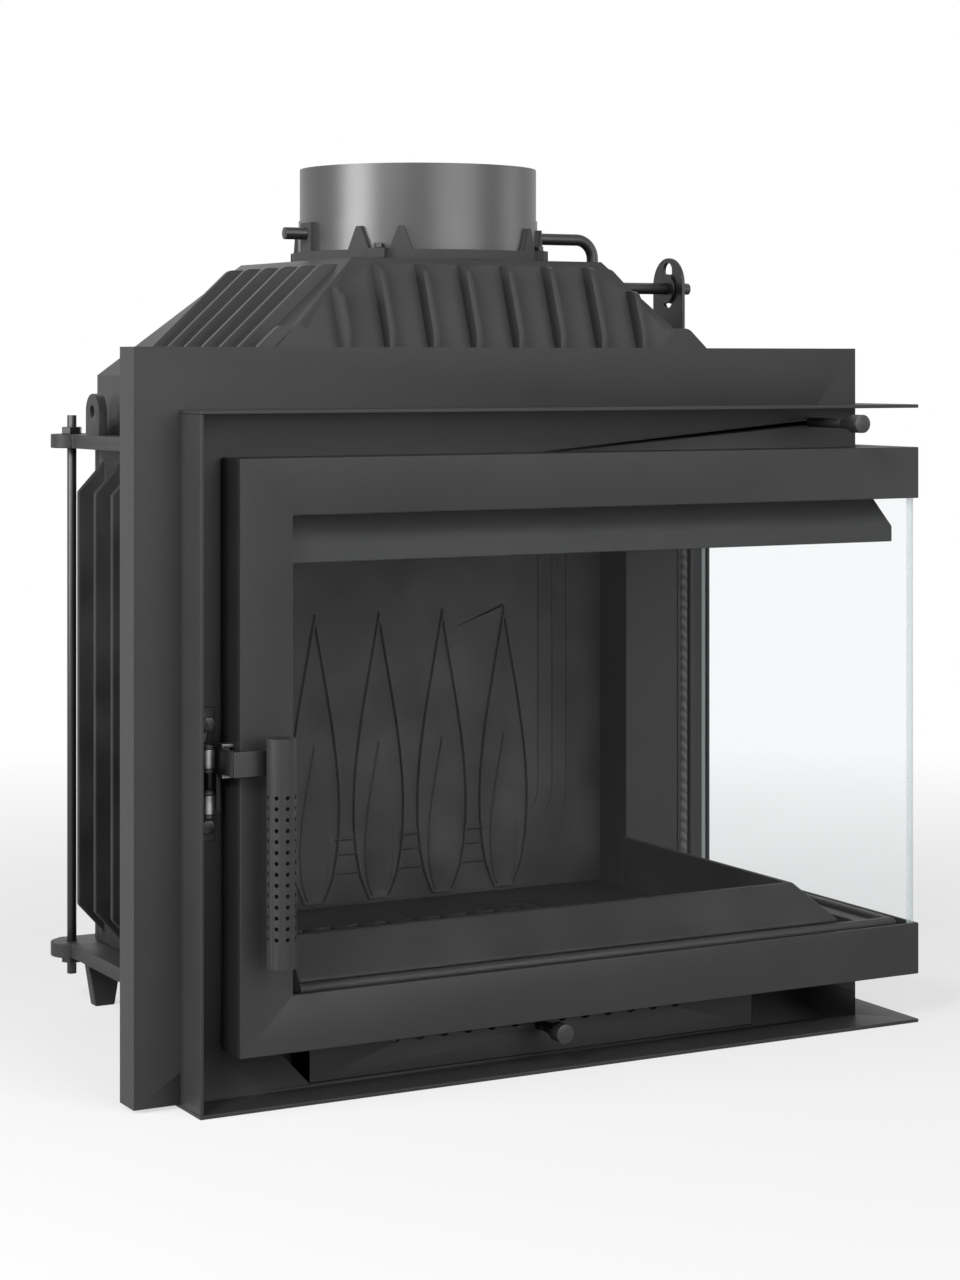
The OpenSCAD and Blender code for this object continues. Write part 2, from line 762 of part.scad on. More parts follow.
// Visor that leads air down the glass, and the baffle under the flue
visor_out = 22;
visor_drop = 58.5;
visor_z = opening_z1 - visor_drop;
visor_lip = 13;
visor_t = 3;
visor_rise = 16;
visor_top = opening_z1 + visor_rise;
visor_end = 262;
visor_gap = 8;
module visor_profile() {
    polygon([[visor_out - visor_t, visor_z], [visor_out, visor_z],
        [visor_out, visor_z + visor_lip], [visor_t, opening_z1 - 2 * visor_t],
        [-sheet_t - seat, opening_z1 - visor_t], [-sheet_t - seat, visor_top],
        [-sheet_t - seat - visor_t, visor_top], [-sheet_t - seat - visor_t, opening_z1 - 2 * visor_t],
        [0, opening_z1 - 3 * visor_t], [visor_out - visor_t, visor_z + visor_lip - visor_t]]);
}
module visor() {
    color(STEEL) around(-bed_left + visor_gap, visor_end) visor_profile();
}
baffle_y0 = 70;
baffle_t = 15;
module throat_baffle() {
    color([0.62, 0.55, 0.42])
        block(-bed_left, bed_right - seat, baffle_y0, fireback_y + back_t, baffle_z,
            baffle_z + baffle_t);
}

// Door: an L shaped welded frame with two panes that meet at the open corner
lip_d = 8.3;
lip_w = 18;
end_w = 6;
web = trim_out - sheet_t;
module rail_profile(z_out, z_in) {
    up = z_in > z_out ? 1 : -1;
    lo = min(z_out, z_in);
    span(web, trim_out, lo, lo + rail_w);
    translate([0, z_out]) scale([1, up]) {
        span(door_gap, trim_out, 0, sheet_t);
        span(lip_d, lip_d + sheet_t, 0, lip_w);
    }
}
module door_frame() {
    color(STEEL) {
        around(-door_left, door_end) rail_profile(door_top, door_top - rail_w);
        around(-door_left, door_end) rail_profile(door_z, door_z + rail_w);
        translate([-door_left, 0, 0]) {
            block(0, rail_w, -trim_out, -web, door_z, door_top);
            block(0, sheet_t, -trim_out, -door_gap, door_z, door_top);
            block(0, lip_w, -lip_d - sheet_t, -lip_d, door_z, door_top);
        }
        translate([surround_right, door_end, 0]) {
            block(web, trim_out, -end_w, 0, door_z, door_top);
            block(door_gap, trim_out, -sheet_t, 0, door_z, door_top);
            block(lip_d, lip_d + sheet_t, -lip_w, 0, door_z, door_top);
        }
    }
}
glass_in = 28;
pane_z0 = door_z + glass_in;
pane_z1 = door_top - glass_in;
pane_out = web - seat;
module front_glass() {
    color(GLASS) block(-door_left + glass_in, surround_right + pane_out, -pane_out,
        -pane_out + glass_t, pane_z0, pane_z1);
}
module side_glass() {
    color(GLASS) block(surround_right + pane_out - glass_t, surround_right + pane_out,
        -pane_out + glass_t + seat, door_end - sheet_t - seat, pane_z0, pane_z1);
}
seal_r = 4;
seal_in = 12;
module door_seal() {
    out = seal_r + seat;
    x0 = -door_left + seal_in;
    x1 = surround_right + out;
    y1 = door_end - seal_in;
    z0 = door_z + seal_in;
    z1 = door_top - seal_in;
    butt = seal_r + seat;
    color(ROPE) {
        for (z = [z0, z1]) {
            rod_x(x0 - seal_r, x1 - butt, -out, z, seal_r);
            rod_y(x1, -out - seal_r, y1 + seal_r, z, seal_r);
        }
        rod_z(x0, -out, z0 + butt, z1 - butt, seal_r);
        rod_z(x1, y1, z0 + butt, z1 - butt, seal_r);
    }
}
clip_w = 24;
clip_t = 3;
clip_foot = 7;
clip_share = [0.15, 0.5, 0.85];
module clip() {
    block(-clip_w / 2, clip_w / 2, 0, glass_t + 2 * seat + clip_t, -clip_foot - seat, -seat);
    block(-clip_w / 2, clip_w / 2, glass_t + 2 * seat, glass_t + 2 * seat + clip_t, -cut, clip_foot);
}
module glass_clips() {
    color(STEEL) for (s = clip_share) {
        x = -door_left + s * (door_left + surround_right);
        y = s * door_end;
        translate([x, -web, pane_z0]) clip();
        translate([x, -web, pane_z1]) mirror([0, 0, 1]) clip();
        translate([surround_right + web, y, pane_z0]) rotate([0, 0, 90]) clip();
        translate([surround_right + web, y, pane_z1]) mirror([0, 0, 1]) rotate([0, 0, 90]) clip();
    }
}

// Hinges at the rear right corner
hinge_out = 29;
hinge_in = 8;
hinge_x = surround_right + hinge_out;
hinge_y = door_end + hinge_in;
hinge_r = 4;
ear_rad = 7;
ear_t = 6;
knuckle_h = 30;
hinge_shares = [0.1, 0.82];
module hinge_level() {
    for (s = hinge_shares) translate([0, 0, door_z + s * door_h]) children();
}
module hinge_ears() {
    color(STEEL) hinge_level() for (z = [-ear_t - seat, knuckle_h + seat]) difference() {
        union() {
            rod_z(hinge_x, hinge_y, z, z + ear_t, ear_rad);
            block(surround_right, hinge_x, hinge_y - ear_rad, hinge_y + ear_rad, z, z + ear_t);
        }
        rod_z(hinge_x, hinge_y, z - cut, z + ear_t + cut, hinge_r);
    }
}
module hinge_pins() {
    color(BRIGHT) hinge_level()
        rod_z(hinge_x, hinge_y, -ear_t - 2 * seat, knuckle_h + ear_t + 2 * seat, hinge_r);
}
module door_knuckles() {
    color(STEEL) hinge_level() difference() {
        union() {
            rod_z(hinge_x, hinge_y, 0, knuckle_h, ear_rad);
            block(hinge_x - ear_rad, hinge_x + ear_rad, door_end, hinge_y, 0, knuckle_h);
        }
        rod_z(hinge_x, hinge_y, -cut, knuckle_h + cut, hinge_r + run);
    }
}

// Latch: a plate bolted to the surround with two rollers on pins
latch_gap = 5;
latch_w = 22;
latch_x1 = door_left + latch_gap;
latch_x0 = latch_x1 + latch_w;
latch_z0 = 198;
latch_z1 = 298;
latch_hole_z = [209, 286];
latch_hole_in = 7;
latch_hole_x = latch_x1 + latch_hole_in;
roller_in = 12;
roller_x = latch_x1 + roller_in;
roller_y = 16;
roller_r = 6;
roller_h = 14;
roller_z = [221, 255];
roller_pin = 2.5;
module latch_plate() {
    color(DARK) difference() {
        union() {
            block(-latch_x0, -latch_x1, -sheet_t, 0, latch_z0, latch_z1);
            for (z = roller_z) for (e = [z - sheet_t - seat, z + roller_h + seat]) {
                intersection() {
                    rod_z(-roller_x, -roller_y, e, e + sheet_t, roller_r);
                    block(-far, -roller_x + roller_r / 2, -far, 0, e, e + sheet_t);
                }
                block(-roller_x - roller_r, -roller_x + roller_r / 2, -roller_y, -cut, e,
                    e + sheet_t);
            }
        }
        for (z = roller_z)
            rod_z(-roller_x, -roller_y, z - 2 * sheet_t, z + roller_h + 2 * sheet_t, roller_pin);
    }
}
module latch_pins() {
    color(BRIGHT) for (z = roller_z)
        rod_z(-roller_x, -roller_y, z - sheet_t - seat, z + roller_h + sheet_t + seat, roller_pin);
}
module latch_bolts() {
    color(BRIGHT) for (z = latch_hole_z)
        hex_y(-latch_hole_x, -sheet_t, z, nut_r * 2 / 3, bolt_h);
}
module roller(z) {
    color(BRIGHT) difference() {
        rod_z(-roller_x, -roller_y, z, z + roller_h, roller_r);
        rod_z(-roller_x, -roller_y, z - cut, z + roller_h + cut, roller_pin + run);
    }
}
module lower_roller() { roller(roller_z[0]); }
module upper_roller() { roller(roller_z[1]); }

// Handle: a perforated tube on a lever that turns on a pin at the door's edge
pivot_out = 5;
pivot_x = door_left + pivot_out;
pivot_y = 22;
pivot_r = 2.5;
barrel_r = 4.5;
arm_z = 251;
arm_h = 19;
arm_t = 3.6;
arm_out = 5.2;
arm_x = pivot_x + arm_out;
arm_front = 50;
hook_end = 5;
hook_lip = 3;
grip_in = 23;
grip_x = door_left - grip_in;
grip_y = arm_front + grip_d / 2;
tongue_z = 222;
module handle_pivot() {
    color(BRIGHT) {
        rod_z(-pivot_x, -pivot_y, arm_z - seat - sheet_t, arm_z + arm_h + seat + sheet_t, pivot_r);
        for (z = [arm_z - seat - sheet_t, arm_z + arm_h + seat]) difference() {
            block(-pivot_x - barrel_r, -door_left, -pivot_y - barrel_r, -pivot_y + barrel_r,
                z, z + sheet_t);
            rod_z(-pivot_x, -pivot_y, z - cut, z + sheet_t + cut, pivot_r);
        }
    }
}
module handle_lever() {
    color(DARK) difference() {
        union() {
            rod_z(-pivot_x, -pivot_y, arm_z, arm_z + arm_h, barrel_r);
            block(-arm_x, -arm_x + arm_t, -arm_front + arm_t, -pivot_y, arm_z, arm_z + arm_h);
            block(-arm_x, -arm_x + arm_t, -pivot_y, -hook_end, arm_z, arm_z + arm_h);
            block(-arm_x, -arm_x + arm_t, -pivot_y + barrel_r + seat, -hook_end, tongue_z,
                arm_z + cut);
            block(-arm_x - hook_lip, -arm_x + cut, -hook_end - arm_t, -hook_end, tongue_z,
                arm_z + arm_h);
        }
        rod_z(-pivot_x, -pivot_y, tongue_z - cut, arm_z + arm_h + cut, pivot_r + run);
    }
}
module handle_arm() {
    color(DARK) block(-arm_x, -grip_x, -arm_front, -arm_front + arm_t - seat, arm_z,
        arm_z + arm_h);
}
grip_wall = 2;
cap_t = 3;
vent_r = 1.6;
vent_rows = 14;
vent_pitch = 8;
vent_z = 22;
vent_step = 45;
module handle_grip() {
    color(STEEL) difference() {
        rod_z(-grip_x, -grip_y, grip_z, grip_z + grip_l, grip_d / 2);
        rod_z(-grip_x, -grip_y, grip_z - cut, grip_z + grip_l + cut, grip_d / 2 - grip_wall);
        for (i = [0 : vent_rows - 1]) for (a = [0 : vent_step : 360 - vent_step])
            translate([-grip_x, -grip_y, grip_z + vent_z + i * vent_pitch]) rotate([0, 0, a])
                rod_x(grip_d / 2 - 2 * grip_wall, grip_d / 2 + cut, 0, 0, vent_r);
    }
}
module handle_caps() {
    color(DARK) for (z = [grip_z, grip_z + grip_l - cap_t])
        rod_z(-grip_x, -grip_y, z, z + cap_t, grip_d / 2 - grip_wall - run);
}

base_casting();
feet();
left_wall();
rear_wall();
right_post();
top_casting();
tie_rods();
tie_nuts();
smoke_hood();
flue_collar();
collar_bolts();
damper_plate();
damper_crank();
damper_washer();
damper_nut();
damper_strap();
damper_rod();
damper_knob();
surround();
shelf_plate();
left_trim();
hearth_lip();
front_panel();
air_rod();
air_knob();
air_shutter();
fireback();
bed_plate();
grate();
ash_pan();
front_fence();
side_fence();
sill_bar();
visor();
throat_baffle();
door_frame();
front_glass();
side_glass();
door_seal();
glass_clips();
hinge_ears();
hinge_pins();
door_knuckles();
latch_plate();
latch_bolts();
latch_pins();
upper_roller();
lower_roller();
handle_pivot();
handle_lever();
handle_arm();
handle_grip();
handle_caps();
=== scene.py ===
"""Looks of a cast iron fireplace insert: stove paint, iron, ceramic glass, bare steel and a studio stage."""

import json
import math

import bmesh
import bpy
from bpy.props import FloatProperty, FloatVectorProperty, PointerProperty
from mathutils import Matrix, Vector


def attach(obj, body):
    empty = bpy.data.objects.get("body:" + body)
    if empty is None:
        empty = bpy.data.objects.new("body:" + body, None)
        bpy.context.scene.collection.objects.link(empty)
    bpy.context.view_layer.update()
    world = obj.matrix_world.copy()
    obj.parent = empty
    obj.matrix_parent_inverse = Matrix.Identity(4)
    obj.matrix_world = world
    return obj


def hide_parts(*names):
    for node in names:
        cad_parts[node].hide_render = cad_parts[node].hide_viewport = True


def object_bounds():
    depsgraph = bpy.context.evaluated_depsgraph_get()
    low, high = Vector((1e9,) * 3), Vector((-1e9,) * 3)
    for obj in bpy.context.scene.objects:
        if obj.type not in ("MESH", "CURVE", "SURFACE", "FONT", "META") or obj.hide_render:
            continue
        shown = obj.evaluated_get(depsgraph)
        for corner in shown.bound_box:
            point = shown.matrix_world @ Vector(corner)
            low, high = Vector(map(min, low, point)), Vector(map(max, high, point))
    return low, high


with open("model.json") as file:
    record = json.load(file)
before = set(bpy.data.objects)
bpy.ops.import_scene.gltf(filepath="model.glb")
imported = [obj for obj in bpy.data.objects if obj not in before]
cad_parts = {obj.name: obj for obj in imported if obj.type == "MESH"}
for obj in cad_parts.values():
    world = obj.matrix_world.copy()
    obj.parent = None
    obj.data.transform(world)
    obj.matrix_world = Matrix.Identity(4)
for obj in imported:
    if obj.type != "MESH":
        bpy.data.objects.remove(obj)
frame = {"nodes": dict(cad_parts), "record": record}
NODES = frame["nodes"]
CAD_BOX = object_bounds()

bl_info = {
    "name": "Fireplace insert",
    "version": (1, 0, 0),
    "blender": (4, 5, 0),
    "location": "3D view > Sidebar > Insert",
    "description": "Dresses the pieces of a cast iron fireplace insert and sets its stage",
    "category": "Object",
}

MM = 0.001
MERGE = 0.01 * MM
FLAT_ANGLE = math.radians(0.6)
EDGE_ANGLE = math.radians(28)
COLLAR_SHINE = 0.6
FLUE_AXIS = (0, 0.152)
TURNED_RADIUS = 101 * MM
FITTING_SHINE = 0.4
FITTING_GRAIN = 0.9 * MM
FITTING_DEPTH = 0.03 * MM
CASTING_MOTTLE = 0.22
SHEET_MOTTLE = 0.14
FITTING_MOTTLE = 0.2
SOOT_SHINE = 0.15
# Painted light: the fireback's colour is raised, for the light that falls on it through the glass.
FIREBACK_PAINTED_LIGHT = 2.2
# Painted shade: the colour of the bed and grate is lowered, since they face up, away from the level lamps.
BED_PAINTED_SHADE = 0.5
WALL_SHINE = 0.15
SMOOTH_ANGLE = math.radians(40)
TURNED_ANGLE = math.radians(10)


class CastingFinish(bpy.types.PropertyGroup):
    """The painted cast iron."""

    colour: FloatVectorProperty(
        name="Colour", description="Colour of the painted castings", subtype="COLOR",
        default=(0.02, 0.02, 0.0205), min=0, max=1)
    roughness: FloatProperty(
        name="Roughness", description="How dull the castings are", default=0.52, min=0, max=1)
    shine: FloatProperty(
        name="Shine", description="How much the castings mirror", default=0.2, min=0, max=1)
    spigot: FloatProperty(
        name="Spigot", description="How dull the turned flue collar is", default=0.38, min=0, max=1)
    grain: FloatProperty(
        name="Grain", description="Width of the sand grains left by the mould", unit="LENGTH",
        default=1.1 * MM, min=0.2 * MM)
    depth: FloatProperty(
        name="Depth", description="Depth of the sand grain", unit="LENGTH",
        default=0.03 * MM, min=0)
    edge: FloatProperty(
        name="Edge", description="Width of the rounded edges of the castings", unit="LENGTH",
        default=1.4 * MM, min=0)


class SheetFinish(bpy.types.PropertyGroup):
    """The painted sheet steel."""

    colour: FloatVectorProperty(
        name="Colour", description="Colour of the painted sheet", subtype="COLOR",
        default=(0.022, 0.022, 0.0225), min=0, max=1)
    roughness: FloatProperty(
        name="Roughness", description="How dull the sheet's paint is", default=0.45, min=0, max=1)
    shine: FloatProperty(
        name="Shine", description="How much the sheet's paint mirrors", default=0.16, min=0, max=1)
    grain: FloatProperty(
        name="Grain", description="Width of the paint's fine texture", unit="LENGTH",
        default=0.7 * MM, min=0.2 * MM)
    depth: FloatProperty(
        name="Depth", description="Depth of the paint's fine texture", unit="LENGTH",
        default=0.02 * MM, min=0)
    edge: FloatProperty(
        name="Edge", description="Width of the rounded edges of the sheet", unit="LENGTH",
        default=0.7 * MM, min=0)


class FittingFinish(bpy.types.PropertyGroup):
    """Rods, levers, bolts and other fittings."""

    colour: FloatVectorProperty(
        name="Colour", description="Colour of the blackened fittings", subtype="COLOR",
        default=(0.010, 0.010, 0.0105), min=0, max=1)
    steel: FloatVectorProperty(
        name="Steel", description="Colour of the bare steel", subtype="COLOR",
        default=(0.30, 0.30, 0.31), min=0, max=1)
    roughness: FloatProperty(
        name="Roughness", description="How dull the fittings are", default=0.38, min=0, max=1)
    edge: FloatProperty(
        name="Edge", description="Width of the fittings' rounded edges", unit="LENGTH",
        default=0.5 * MM, min=0)


class GlassFinish(bpy.types.PropertyGroup):
    """The ceramic panes and the rope that seals them."""

    tint: FloatVectorProperty(
        name="Tint", description="Colour of light that has passed a pane", subtype="COLOR",
        default=(0.985, 0.99, 0.992), min=0, max=1)
    edge_tint: FloatVectorProperty(
        name="Edge tint", description="Colour of a pane's ground edge", subtype="COLOR",
        default=(0.62, 0.67, 0.68), min=0, max=1)
    rope: FloatVectorProperty(
        name="Rope", description="Colour of the door's rope seal", subtype="COLOR",
        default=(0.11, 0.11, 0.105), min=0, max=1)
    twist: FloatProperty(
        name="Twist", description="Length of one twist of the rope's braid", unit="LENGTH",
        default=5 * MM, min=1 * MM)


class StageSettings(bpy.types.PropertyGroup):
    """The studio."""

    key: FloatProperty(
        name="Key", description="Power of the main lamp, at the front left", unit="POWER", default=60, min=0)
    left: FloatProperty(
        name="Left", description="Power of the soft lamp on the left", unit="POWER", default=82, min=0)
    front: FloatProperty(
        name="Front", description="Power of the large soft lamp in front", unit="POWER", default=92, min=0)
    fill: FloatProperty(
        name="Fill", description="Power of the lamp on the right", unit="POWER", default=12, min=0)
    rim: FloatProperty(
        name="Rim", description="Power of the lamp behind", unit="POWER", default=10, min=0)
    sky: FloatProperty(
        name="Sky", description="Level of the light from all round", default=0.05, min=0, max=1)
    floor: FloatVectorProperty(
        name="Floor", description="Colour of the floor", subtype="COLOR",
        default=(0.6, 0.6, 0.6), min=0, max=1)
    lens: FloatProperty(
        name="Lens", description="Focal length of the camera, in millimetres of a 36 mm frame",
        default=80.33, min=10)


class Value:
    """A number that varies over a surface, with the arithmetic of its Math nodes."""

    def __init__(self, finish, socket):
        self.finish = finish
        self.socket = socket

    def maths(self, operation, first, second):
        return self.finish.node("ShaderNodeMath", {"operation": operation}, {0: first, 1: second})

    def __add__(self, other):
        return self.maths("ADD", self, other)

    __radd__ = __add__

    def __sub__(self, other):
        return self.maths("SUBTRACT", self, other)

    def __rsub__(self, other):
        return self.maths("SUBTRACT", other, self)

    def __mul__(self, other):
        return self.maths("MULTIPLY", self, other)

    __rmul__ = __mul__

    def clamped(self, low, high):
        return self.finish.node(
            "ShaderNodeMapRange", {"clamp": True}, {"Value": self, "From Min": low, "From Max": high})


class Finish:
    """A material's tree while it is being made."""

    def __init__(self, name, tree=None):
        if tree is None:
            self.material = bpy.data.materials.new(name)
            self.material.use_nodes = True
            tree = self.material.node_tree
        self.tree = tree
        self.tree.nodes.clear()

    def node(self, kind, settings=None, sockets=None, out=0):
        """Adds a node, sets it up, fills its sockets and returns one of its outputs."""
        node = self.tree.nodes.new(kind)
        for key, value in (settings or {}).items():
            setattr(node, key, value)
        for key, value in (sockets or {}).items():
            if isinstance(value, Value):
                self.tree.links.new(value.socket, node.inputs[key])
            else:
                node.inputs[key].default_value = value
        return Value(self, node.outputs[out])

    def place(self):
        """Position on the piece, in metres."""
        return self.node("ShaderNodeTexCoord", out="Object")

    def noise(self, place, size, detail=2.0):
        return self.node("ShaderNodeTexNoise", {}, {"Vector": place, "Scale": 1 / size, "Detail": detail})

    def blend(self, factor, dark, light):
        """A colour between two others."""
        return self.node(
            "ShaderNodeMix", {"data_type": "RGBA"},
            {"Factor": factor, 6: (*dark, 1), 7: (*light, 1)}, out=2)

    def bump(self, height, depth):
        return self.node("ShaderNodeBump", {}, {"Height": height, "Distance": depth, "Strength": 1.0})

    def mix_shaders(self, factor, first, second):
        return self.node("ShaderNodeMixShader", {}, {"Fac": factor, 1: first, 2: second})

    def maths_max(self, first, second):
        return first.maths("MAXIMUM", first, second)

    def end(self, shader):
        output = self.tree.nodes.new("ShaderNodeOutputMaterial")
        self.tree.links.new(shader.socket, output.inputs["Surface"])
        return self.material

    def end_world(self, shader):
        output = self.tree.nodes.new("ShaderNodeOutputWorld")
        self.tree.links.new(shader.socket, output.inputs["Surface"])


def stove_paint(name, colour, roughness, grain, depth, mottle, shine):
    """Matt stove paint over sand-cast iron or sheet: fine texture, with slow changes of tone and gloss."""
    finish = Finish(name)
    place = finish.place()
    fine = finish.noise(place, grain, 3.0)
    speck = finish.noise(place, grain / 2, 1.0)
    broad = finish.noise(place, 90 * MM, 4.0)
    tone = (fine * 0.35 + broad * 0.65).clamped(0.3, 0.7)
    light = [min(1, c * (1 + mottle)) for c in colour]
    dark = [c * (1 - mottle) for c in colour]
    gloss = roughness + (broad - 0.5) * 0.16 + (speck - 0.5) * 0.12
    shader = finish.node("ShaderNodeBsdfPrincipled", {}, {
        "Base Color": finish.blend(tone, dark, light),
        "Roughness": gloss,
        "Specular IOR Level": shine,
        "Normal": finish.bump(fine + speck * 0.4, depth),
    })
    return finish.end(shader)


def turned_paint(name, colour, turned, cast, grain, depth):
    """Stove paint on the flue collar: smooth on the turned spigot; dull on the cast ring and gussets, whose
    colour is halved as painted shade.
    """
    finish = Finish(name)
    place = finish.place()
    fine = finish.noise(place, grain, 3.0)
    broad = finish.noise(place, 90 * MM, 4.0)
    away = finish.node("ShaderNodeVectorMath", {"operation": "MULTIPLY_ADD"}, {
        0: place, 1: (1, 1, 0), 2: (-FLUE_AXIS[0], -FLUE_AXIS[1], 0)})
    radius = finish.node("ShaderNodeVectorMath", {"operation": "LENGTH"}, {0: away}, out=1)
    # Past the turned radius the paint is dull, and its colour is halved as painted shade, so the ring and
    # gussets read dark beside the shining spigot.
    ring = radius.clamped(TURNED_RADIUS, TURNED_RADIUS + 0.4 * MM)
    smooth = turned + (broad - 0.5) * 0.12 + (fine - 0.5) * 0.06
    shader = finish.node("ShaderNodeBsdfPrincipled", {}, {
        "Base Color": finish.blend(ring, colour, [c * 0.5 for c in colour]),
        "Roughness": smooth + ring * (1 - turned) * 0.7 + ring * (cast - turned) * 0.3,
        "Specular IOR Level": COLLAR_SHINE,
        "Normal": finish.bump(fine, depth),
    })
    return finish.end(shader)


def soot_iron(name, colour, roughness, grain, depth, shine):
    """Unpainted cast iron with a dull bloom that changes from place to place."""
    finish = Finish(name)
    place = finish.place()
    fine = finish.noise(place, grain, 3.0)
    bloom = finish.noise(place, 60 * MM, 5.0)
    cloud = bloom.clamped(0.35, 0.75)
    shader = finish.node("ShaderNodeBsdfPrincipled", {}, {
        "Base Color": finish.blend(cloud, [c * 0.6 for c in colour], [c * 1.3 for c in colour]),
        "Roughness": roughness + (bloom - 0.5) * 0.2,
        "Specular IOR Level": shine,
        "Normal": finish.bump(fine, depth),
    })
    return finish.end(shader)


def bare_steel(name, colour, roughness):
    """Turned and rolled steel with fine rings."""
    finish = Finish(name)
    place = finish.place()
    rings = finish.noise(place, 0.5 * MM, 2.0)
    stain = finish.noise(place, 12 * MM, 3.0)
    shader = finish.node("ShaderNodeBsdfPrincipled", {}, {
        "Base Color": finish.blend(stain.clamped(0.35, 0.7), [c * 0.55 for c in colour], colour),
        "Metallic": 1.0,
        "Roughness": roughness + (rings - 0.5) * 0.25,
        "Normal": finish.bump(rings, 0.01 * MM),
    })
    return finish.end(shader)


def ceramic_glass(name, tint):
    """Clear ceramic glass: it lets light straight through and mirrors a little at its faces."""
    finish = Finish(name)
    through = finish.node("ShaderNodeBsdfTransparent", {}, {"Color": (*tint, 1)})
    mirror = finish.node("ShaderNodeBsdfPrincipled", {}, {
        "Base Color": (*tint, 1), "Roughness": 0.02, "Metallic": 1.0})
    inside = finish.node("ShaderNodeNewGeometry", out="Backfacing")
    gloss = finish.node("ShaderNodeLayerWeight", {}, {"Blend": 0.3}, out=0) * (1 - inside) * 0.4
    return finish.end(finish.mix_shaders(gloss, through, mirror))


def glass_edge(name, colour):
    """The ground edge of a pane, which glows with the light that the pane carries."""
    finish = Finish(name)
    place = finish.place()
    grind = finish.noise(place, 1.5 * MM, 3.0)
    through = finish.node("ShaderNodeBsdfTransparent", {}, {"Color": (*colour, 1)})
    frost = finish.node("ShaderNodeBsdfPrincipled", {}, {
        "Base Color": (*colour, 1), "Roughness": 0.35 + grind * 0.2})
    return finish.end(finish.mix_shaders(0.35 + grind * 0.1, through, frost))


def rope_weave(name, colour, twist):
    """Braided glass rope."""
    finish = Finish(name)
    place = finish.place()
    braid = finish.node(
        "ShaderNodeTexWave", {"wave_type": "BANDS", "bands_direction": "DIAGONAL"},
        {"Vector": place, "Scale": 1 / twist / 3, "Distortion": 2.0, "Detail": 2.0}, out=1)
    fuzz = finish.noise(place, 0.8 * MM, 3.0)
    shader = finish.node("ShaderNodeBsdfPrincipled", {}, {
        "Base Color": finish.blend(braid, [c * 0.4 for c in colour], colour),
        "Roughness": 0.92,
        "Normal": finish.bump(braid + fuzz * 0.5, 0.5 * MM),
    })
    return finish.end(shader)


def fire_board(name):
    """Pressed vermiculite: pale buff with glints of mica."""
    finish = Finish(name)
    place = finish.place()
    crumb = finish.node("ShaderNodeTexVoronoi", {}, {"Vector": place, "Scale": 1 / (3 * MM)})
    soil = finish.noise(place, 30 * MM, 4.0)
    shader = finish.node("ShaderNodeBsdfPrincipled", {}, {
        "Base Color": finish.blend((crumb * 0.5 + soil * 0.6).clamped(0.2, 0.8), (0.10, 0.085, 0.06),
                                   (0.42, 0.36, 0.26)),
        "Roughness": 0.85,
        "Normal": finish.bump(crumb, 0.4 * MM),
    })
    return finish.end(shader)


def sharpen(shape, edge):
    """Rounds the hard edges of a piece by a small width, and shades the rest smooth."""
    bevel = shape.modifiers.new("edges", "BEVEL")
    bevel.width = edge
    bevel.segments = 2
    bevel.limit_method = "ANGLE"
    bevel.angle_limit = EDGE_ANGLE
    bevel.use_clamp_overlap = True
    bevel.loop_slide = False
    bevel.harden_normals = True
    bevel.miter_outer = "MITER_ARC"
    shape.data.shade_smooth()
    shape.data.set_sharp_from_angle(angle=SMOOTH_ANGLE)


def clean_copy(node, name):
    """A copy of a CAD node, cut anew into triangles, because a large face tears when it is rounded."""
    shape = bmesh.new()
    shape.from_mesh(NODES[node].data)
    bmesh.ops.remove_doubles(shape, verts=shape.verts, dist=MERGE)
    bmesh.ops.dissolve_limit(
        shape, angle_limit=FLAT_ANGLE, verts=shape.verts, edges=shape.edges, use_dissolve_boundaries=False)
    bmesh.ops.triangulate(shape, faces=shape.faces, ngon_method="BEAUTY")
    mesh = bpy.data.meshes.new(name)
    shape.to_mesh(mesh)
    shape.free()
    piece = bpy.data.objects.new(name, mesh)
    bpy.context.scene.collection.objects.link(piece)
    return piece


def body_of(node):
    groups = frame["record"]["behaviour"]["bodies"]
    return next(body for body, members in groups.items() if node in members)


def stand_for(piece, node, material):
    """Gives a piece its finish, lets it ride with the body of its CAD node, and hides that node."""
    piece.data.materials.clear()
    piece.data.materials.append(material)
    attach(piece, body_of(node))
    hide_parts(node)


def exact_copy(node, name):
    """A piece with the mesh of a CAD node, smooth only where it is turned."""
    piece = bpy.data.objects.new(name, NODES[node].data.copy())
    bpy.context.scene.collection.objects.link(piece)
    piece.data.shade_smooth()
    piece.data.set_sharp_from_angle(angle=TURNED_ANGLE)
    return piece


def dress(nodes, material, edge):
    """Replaces CAD nodes by copies with rounded edges, or as they are, and the given finish."""
    for node in nodes:
        if edge > 0:
            piece = clean_copy(node, node + "_dressed")
            sharpen(piece, edge)
        else:
            piece = exact_copy(node, node + "_dressed")
        stand_for(piece, node, material)


def material(name, make, *sizes):
    """The finish of that name, made once."""
    return bpy.data.materials.get(name) or make(name, *sizes)


def casting_paint():
    looks = bpy.context.scene.insert_casting
    return material("casting_paint", stove_paint, looks.colour, looks.roughness, looks.grain,
                    looks.depth, CASTING_MOTTLE, looks.shine)


def collar_paint():
    looks = bpy.context.scene.insert_casting
    return material("collar_paint", turned_paint, looks.colour, looks.spigot, looks.roughness,
                    looks.grain, looks.depth / 2)


def sheet_paint():
    looks = bpy.context.scene.insert_sheet
    return material("sheet_paint", stove_paint, looks.colour, looks.roughness, looks.grain,
                    looks.depth, SHEET_MOTTLE, looks.shine)


def fitting_black():
    looks = bpy.context.scene.insert_fitting
    return material("fitting_black", stove_paint, looks.colour, looks.roughness,
                    FITTING_GRAIN, FITTING_DEPTH, FITTING_MOTTLE, FITTING_SHINE)


def steel_bare():
    looks = bpy.context.scene.insert_fitting
    return material("steel_bare", bare_steel, looks.steel, looks.roughness)


